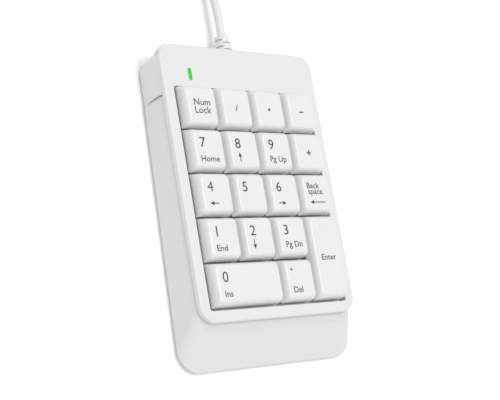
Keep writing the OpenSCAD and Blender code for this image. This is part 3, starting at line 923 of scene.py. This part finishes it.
# Places in words, arrows, signs and star are in mm from the middle of the key's left cell
# Key: its words, each as text, left edge, baseline and capital height
words = {
    "num_lock": [("Num", -4.1, -0.05, 3.0), ("Lock", -4.1, -3.55, 3.0)],
    "7": [("Home", -5.2, -5.6, 2.7)],
    "9": [("Pg Up", -5.0, -5.0, 2.7)],
    "backspace": [("Back", -5.4, 2.1, 2.7), ("space", -5.1, -0.5, 2.7)],
    "1": [("End", -4.8, -5.5, 2.7)],
    "3": [("Pg Dn", -4.6, -4.9, 2.7)],
    "enter": [("Enter", -4.1, -1.7, 2.7)],
    "0": [("Ins", -4.6, -5.5, 2.7)],
    "decimal": [("Del", -4.8, -5.6, 2.7)],
}
# Key: its arrow's middle, length and heading in degrees
arrows = {
    "8": (-2.9, -3.2, 4.2, 90),
    "4": (-2.1, -4.4, 4.6, 180),
    "6": (-2.3, -4.5, 4.2, 0),
    "backspace": (-0.3, -4.2, 8.9, 180),
    "2": (-3.2, -3.2, 4.2, 270),
}
# Key: the strokes of its sign, each as two ends and a thickness
signs = {
    "divide": [(-0.65, -1.7, 0.45, 0.9, 0.45)],
    "minus": [(-1.4, -0.6, 0.8, -0.6, 0.6)],
    "plus": [(-1.4, -0.6, 0.8, -0.6, 0.6), (-0.3, -1.7, -0.3, 0.5, 0.6)],
    "decimal": [(-4.5, 4.4, -4.4, 4.4, 0.95)],
    "multiply": [],
}
star = {"x": -0.5, "y": -0.3, "arm": 0.62, "line": 0.4, "headings": (90, 30, 150)}
for heading in star["headings"]:
    armX = star["arm"] * math.cos(math.radians(heading))
    armY = star["arm"] * math.sin(math.radians(heading))
    signs["multiply"].append(
        (star["x"] - armX, star["y"] - armY, star["x"] + armX, star["y"] + armY, star["line"])
    )


def addPrism(bm, outline):
    # Ink a little proud of the key and rooted a little under its surface
    loft(bm, [[(x, y, z) for x, y in outline] for z in (-legend["under"], legend["proud"])])


def addStroke(bm, x0, y0, x1, y1, thick):
    # Round-ended stroke between two points, in metres
    first, last = Vector((x0, y0)), Vector((x1, y1))
    along = (last - first).normalized()
    start = math.atan2(along.y, along.x)
    outline = []
    for centre, begin in ((last, start - math.pi / 2), (first, start + math.pi / 2)):
        for i in range(7):
            angle = begin + math.pi * i / 6
            outline.append((centre.x + thick / 2 * math.cos(angle), centre.y + thick / 2 * math.sin(angle)))
    addPrism(bm, outline)


def addArrow(bm, x, y, long, heading):
    # Thin shaft with a solid pointed head
    turned = math.radians(heading)
    ahead = Vector((math.cos(turned), math.sin(turned)))
    barb = Vector((-ahead.y, ahead.x)) * legend["headHalf"]
    back = ahead * legend["headBack"]
    middle = Vector((x, y))
    tip = middle + ahead * long / 2
    tail = middle - ahead * long / 2
    neck = tip - ahead * legend["headLong"]
    addStroke(bm, tail.x, tail.y, neck.x, neck.y, legend["arrowLine"])
    addPrism(bm, [(p.x, p.y) for p in (tip, neck + barb - back, neck, neck - barb - back)])


def addText(bm, text, left, base, capHeight, thin):
    # Built-in lettering as a mesh, set by its left edge and baseline; thin under 0 makes it bolder
    data = bpy.data.curves.new("lettering", "FONT")
    data.body = text
    data.size = capHeight / legend["capShare"]
    data.offset = -thin
    data.resolution_u = 4
    data.extrude = (legend["under"] + legend["proud"]) / 2
    holder = bpy.data.objects.new("lettering", data)
    scene.collection.objects.link(holder)
    mesh = bpy.data.meshes.new_from_object(holder.evaluated_get(bpy.context.evaluated_depsgraph_get()))
    bpy.data.objects.remove(holder)
    mesh.transform(Matrix.Diagonal((legend["wider"], 1, 1, 1)))
    lowX = min(v.co.x for v in mesh.vertices)
    mesh.transform(Matrix.Translation((left - lowX, base, (legend["proud"] - legend["under"]) / 2)))
    bm.from_mesh(mesh)
    bpy.data.meshes.remove(mesh)


def buildLegend(key):
    low, high = corners("key_" + key)
    width, depth = high.x - low.x, high.y - low.y
    halfX, halfY, shift = topShape(width, depth)
    middle = (low + high) / 2
    cell = low.x + depth / 2 if width > depth else middle.x
    bm = bmesh.new()
    if key.isdigit():
        thin = legend["fourThin"] if key == "4" else legend["digitThin"]
        left = legend["digitLeft"] + (legend["oneIn"] if key == "1" else 0)
        addText(bm, key, left, legend["digitBase"], legend["digitHeight"], thin)
    for text, left, base, tall in words.get(key, []):
        addText(bm, text, left * mm, base * mm, tall * mm, legend["wordThin"])
    if key in arrows:
        x, y, long, heading = arrows[key]
        addArrow(bm, x * mm, y * mm, long * mm, heading)
    for stroke in signs.get(key, []):
        addStroke(bm, *(value * mm for value in stroke))
    bmesh.ops.remove_doubles(bm, verts=bm.verts, dist=legend["weld"])
    for vert in bm.verts:
        x = cell - middle.x + vert.co.x
        y = vert.co.y
        vert.co = (x, y, high.z + vert.co.z - dishAt(x, y - shift, halfX, halfY))
    name = "legend_" + key
    piece = addPiece(name, meshFrom(bm, name), "key_" + key + "_body", "dark_plastic", legendInk)
    piece.location = (middle.x, middle.y, 0)


for key in keyNames:
    buildLegend(key)
print("keypad: legends printed")

# Each wall is radius and height, in mm, from the rim of its foot to just before the axis
dome = {
    "steps": 32,
    "keep": 0.27,
    "outside": [
        (3.25, 0.0), (4.05, 0.0), (4.2, 0.12), (4.2, 0.42), (4.1, 0.52), (3.75, 0.62), (3.55, 0.85), (3.1, 1.6),
        (2.6, 2.45), (2.36, 2.85), (2.3, 3.1), (2.3, 4.0), (2.2, 4.12), (2.05, 4.15), (1.2, 4.15), (1.05, 4.02),
    ],
    "outsidePeak": 3.98,
    "inside": [
        (3.05, 0.7), (2.6, 1.5), (2.0, 2.6), (1.7, 2.92), (1.1, 2.9), (0.95, 2.75), (0.9, 2.05), (0.75, 1.9),
    ],
    "insidePeak": 1.9,
}


def domeMesh():
    # Thin-walled cup turned round its axis: flange, sloping skirt, collar and a solid plunger inside
    steps = dome["steps"]
    angles = [2 * math.pi * i / steps for i in range(steps)]
    bm = bmesh.new()
    feet = []
    for wall in ("outside", "inside"):
        rings = [[(r * mm * math.cos(a), r * mm * math.sin(a), z * mm) for a in angles] for r, z in dome[wall]]
        rows = loft(bm, rings, caps=(False, False))
        closeTo(bm, rows[-1], (0, 0, dome[wall + "Peak"] * mm))
        feet.append(rows[0])
    outer, inner = feet
    for i in range(steps):
        j = (i + 1) % steps
        bm.faces.new((inner[i], inner[j], outer[j], outer[i]))
    mesh = meshFrom(bm, "dome")
    mesh.materials.append(finish["dome_silicone"])
    smoothBy(mesh, 60)
    return mesh


domeShape = domeMesh()
for key in keyNames:
    low, high = corners("dome_" + key)
    cup = addPiece("dome_cup_" + key, domeShape, "case", "dome_silicone", None, ("dome_" + key,))
    cup.location = ((low.x + high.x) / 2, (low.y + high.y) / 2, low.z)
    tuple(cup.location)
    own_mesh(cup)
print("keypad: domes seated")

# The model's own parts keep their shapes and get the finish of their slot
slotOf = {part["node"]: part["material_slot"] for part in frame["record"]["subparts"]}
for node, piece in frame["nodes"].items():
    for holder in piece.material_slots:
        holder.material = finish[slotOf[node]]
print("keypad: inner parts finished")
